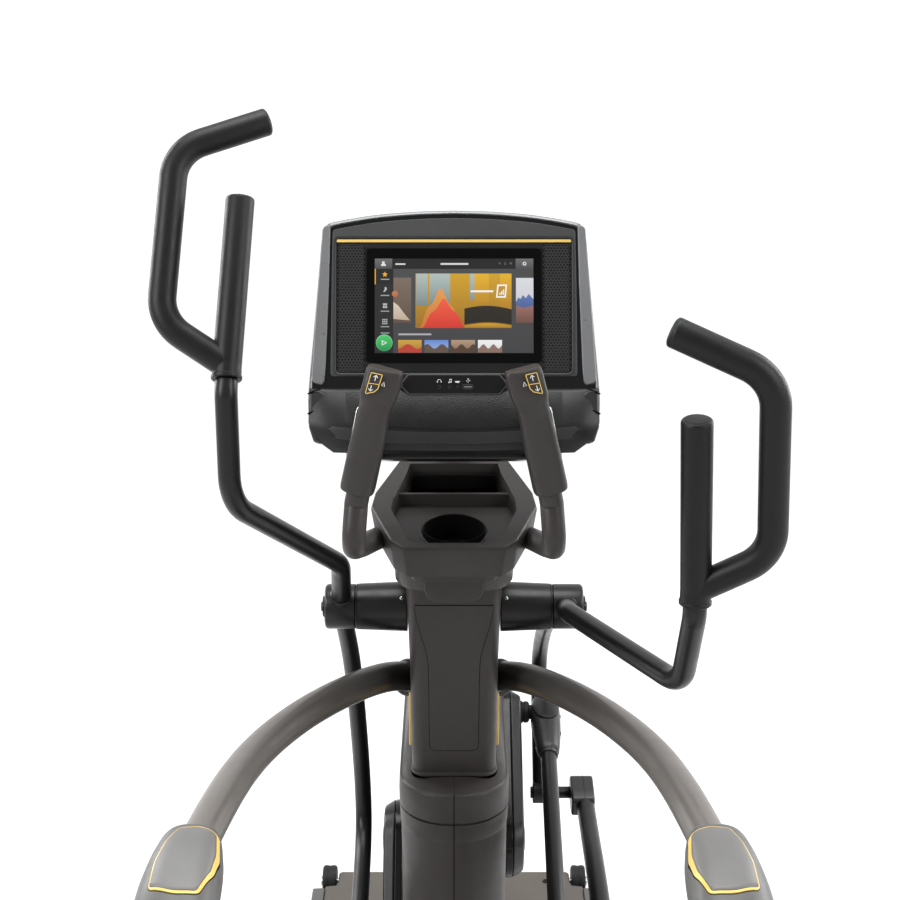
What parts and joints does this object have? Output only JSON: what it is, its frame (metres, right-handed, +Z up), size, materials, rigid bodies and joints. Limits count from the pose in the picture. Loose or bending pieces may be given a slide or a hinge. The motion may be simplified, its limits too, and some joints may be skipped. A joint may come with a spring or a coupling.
{
  "type": "elliptical trainer",
  "caption": "Suspension elliptical trainer with swinging looped arms, hung foot pedals, side cranks, arched rear frame and a touch-screen console with tray.",
  "frame": {"origin": "middle of the machine's footprint, on the floor", "axes": "+X to the user's right, +Y away from the user towards the drive end, +Z up"},
  "size_m": [0.8511, 1.884, 1.801],
  "materials": {
    "satin_black": "satin powder coat",
    "rubber": "matte",
    "warm_grey": "fine moulded texture",
    "mast_grey": "fine moulded texture",
    "gunmetal": "metallic satin",
    "housing_grey": "satin moulded",
    "base_grey": "satin",
    "charcoal": "grained",
    "glass": "gloss",
    "steel": "brushed",
    "iron": "machined"
  },
  "bodies": {
    "frame": {"arch_housing_left": "housing_grey", "arch_housing_right": "housing_grey", "arch_tube_left": "gunmetal", "arch_tube_right": "gunmetal", "axle_casing_left": "satin_black", "axle_casing_right": "satin_black", "axle_shaft": "steel", "base_end_cap_left": "housing_grey", "base_end_cap_right": "housing_grey", "base_plate": "base_grey", "centre_beam": "satin_black", "console_bezel": "charcoal", "console_bracket": "satin_black", "console_shelf": "charcoal", "console_shell": "charcoal", "contact_plate_left": "steel", "contact_plate_right": "steel", "display": "glass", "drive_belt": "rubber", "foot_front_left": "rubber", "foot_front_right": "rubber", "foot_rear_left": "rubber", "foot_rear_right": "rubber", "handle_grip_left": "warm_grey", "handle_grip_right": "warm_grey", "handle_tube_left": "warm_grey", "handle_tube_right": "warm_grey", "mast_collar": "warm_grey", "mast_cover": "warm_grey", "mast_panel": "mast_grey", "mast_post": "satin_black", "rear_stabiliser": "satin_black", "shroud_left": "warm_grey", "shroud_right": "warm_grey", "tray": "warm_grey"},
    "swing_arm_right": {"arm_tube_right": "satin_black", "arm_grip_right": "rubber", "hub_cap_right": "satin_black", "foot_pin_right": "steel"},
    "foot_carrier_right": {"foot_member_right": "satin_black", "pedal_right": "rubber"},
    "crank_rod_right": {"rod_right": "satin_black"},
    "hanger_right": {"control_link_right": "satin_black"},
    "wheel_right": {"transport_wheel_right": "rubber"},
    "rocker_right": {"toggle_right": "charcoal"},
    "swing_arm_left": {"arm_tube_left": "satin_black", "arm_grip_left": "rubber", "hub_cap_left": "satin_black", "foot_pin_left": "steel"},
    "foot_carrier_left": {"foot_member_left": "satin_black", "pedal_left": "rubber"},
    "crank_rod_left": {"rod_left": "satin_black"},
    "hanger_left": {"control_link_left": "satin_black"},
    "wheel_left": {"transport_wheel_left": "rubber"},
    "rocker_left": {"toggle_left": "charcoal"},
    "crank": {"crank_axle": "steel", "crank_arm_left": "satin_black", "crank_arm_right": "satin_black", "drive_pulley": "iron"},
    "flywheel": {"flywheel": "iron"}
  },
  "joints": [
    {"name": "crank_turn", "type": "hinge", "parent": "frame", "child": "crank", "pos_m": [0, 0.488, 0.424], "axis": [1, 0, 0], "range_deg": [0, 92.6]},
    {"name": "swing_arm_right_pivot", "type": "hinge", "parent": "frame", "child": "swing_arm_right", "pos_m": [0, 0.308, 0.97], "axis": [1, 0, 0], "range_deg": [-35.17, 0]},
    {"name": "foot_carrier_right_pivot", "type": "hinge", "parent": "swing_arm_right", "child": "foot_carrier_right", "pos_m": [0, 0.62813, 0.4419], "axis": [1, 0, 0], "range_deg": [0, 29.6]},
    {"name": "crank_rod_right_pivot", "type": "hinge", "parent": "crank", "child": "crank_rod_right", "pos_m": [0, 0.66802, 0.59603], "axis": [1, 0, 0], "range_deg": [-89.43, 0]},
    {"name": "hanger_right_pivot", "type": "hinge", "parent": "frame", "child": "hanger_right", "pos_m": [0, -0.492, 0.86], "axis": [1, 0, 0], "range_deg": [-37.32, 0]},
    {"name": "swing_arm_left_pivot", "type": "hinge", "parent": "frame", "child": "swing_arm_left", "pos_m": [0, 0.308, 0.97], "axis": [1, 0, 0], "range_deg": [0, 40.04]},
    {"name": "foot_carrier_left_pivot", "type": "hinge", "parent": "swing_arm_left", "child": "foot_carrier_left", "pos_m": [0, 0.29101, 0.35268], "axis": [1, 0, 0], "range_deg": [-33.79, 0]},
    {"name": "crank_rod_left_pivot", "type": "hinge", "parent": "crank", "child": "crank_rod_left", "pos_m": [0, 0.30798, 0.25197], "axis": [1, 0, 0], "range_deg": [-100.06, 0]},
    {"name": "hanger_left_pivot", "type": "hinge", "parent": "frame", "child": "hanger_left", "pos_m": [0, -0.492, 0.86], "axis": [1, 0, 0], "range_deg": [0, 41.74]},
    {"name": "flywheel_spin", "type": "hinge", "parent": "frame", "child": "flywheel", "pos_m": [0, 0.673, 0.205], "axis": [1, 0, 0], "continuous": true},
    {"name": "wheel_right_spin", "type": "hinge", "parent": "frame", "child": "wheel_right", "pos_m": [0.273, 0.908, 0.066], "axis": [1, 0, 0], "continuous": true},
    {"name": "wheel_left_spin", "type": "hinge", "parent": "frame", "child": "wheel_left", "pos_m": [-0.273, 0.908, 0.066], "axis": [1, 0, 0], "continuous": true},
    {"name": "rocker_right_tilt", "type": "hinge", "parent": "frame", "child": "rocker_right", "pos_m": [0.08814, -0.2038, 1.50186], "axis": [0.9777, 0.0333, 0.2074], "range_deg": [-4, 4], "stiffness_Nm_per_rad": 0.08},
    {"name": "rocker_left_tilt", "type": "hinge", "parent": "frame", "child": "rocker_left", "pos_m": [-0.08814, -0.2038, 1.50186], "axis": [0.9777, -0.0333, -0.2074], "range_deg": [-4, 4], "stiffness_Nm_per_rad": 0.08}
  ],
  "couplings": [
    {"joint": "swing_arm_right_pivot", "follows": "crank_turn", "ratio": -0.37959},
    {"joint": "foot_carrier_right_pivot", "follows": "crank_turn", "ratio": 0.31939},
    {"joint": "crank_rod_right_pivot", "follows": "crank_turn", "ratio": -0.96552},
    {"joint": "hanger_right_pivot", "follows": "crank_turn", "ratio": -0.4028},
    {"joint": "swing_arm_left_pivot", "follows": "crank_turn", "ratio": 0.43221},
    {"joint": "foot_carrier_left_pivot", "follows": "crank_turn", "ratio": -0.3647},
    {"joint": "crank_rod_left_pivot", "follows": "crank_turn", "ratio": -1.0803},
    {"joint": "hanger_left_pivot", "follows": "crank_turn", "ratio": 0.45051},
    {"joint": "flywheel_spin", "follows": "crank_turn", "ratio": 5.2}
  ]
}
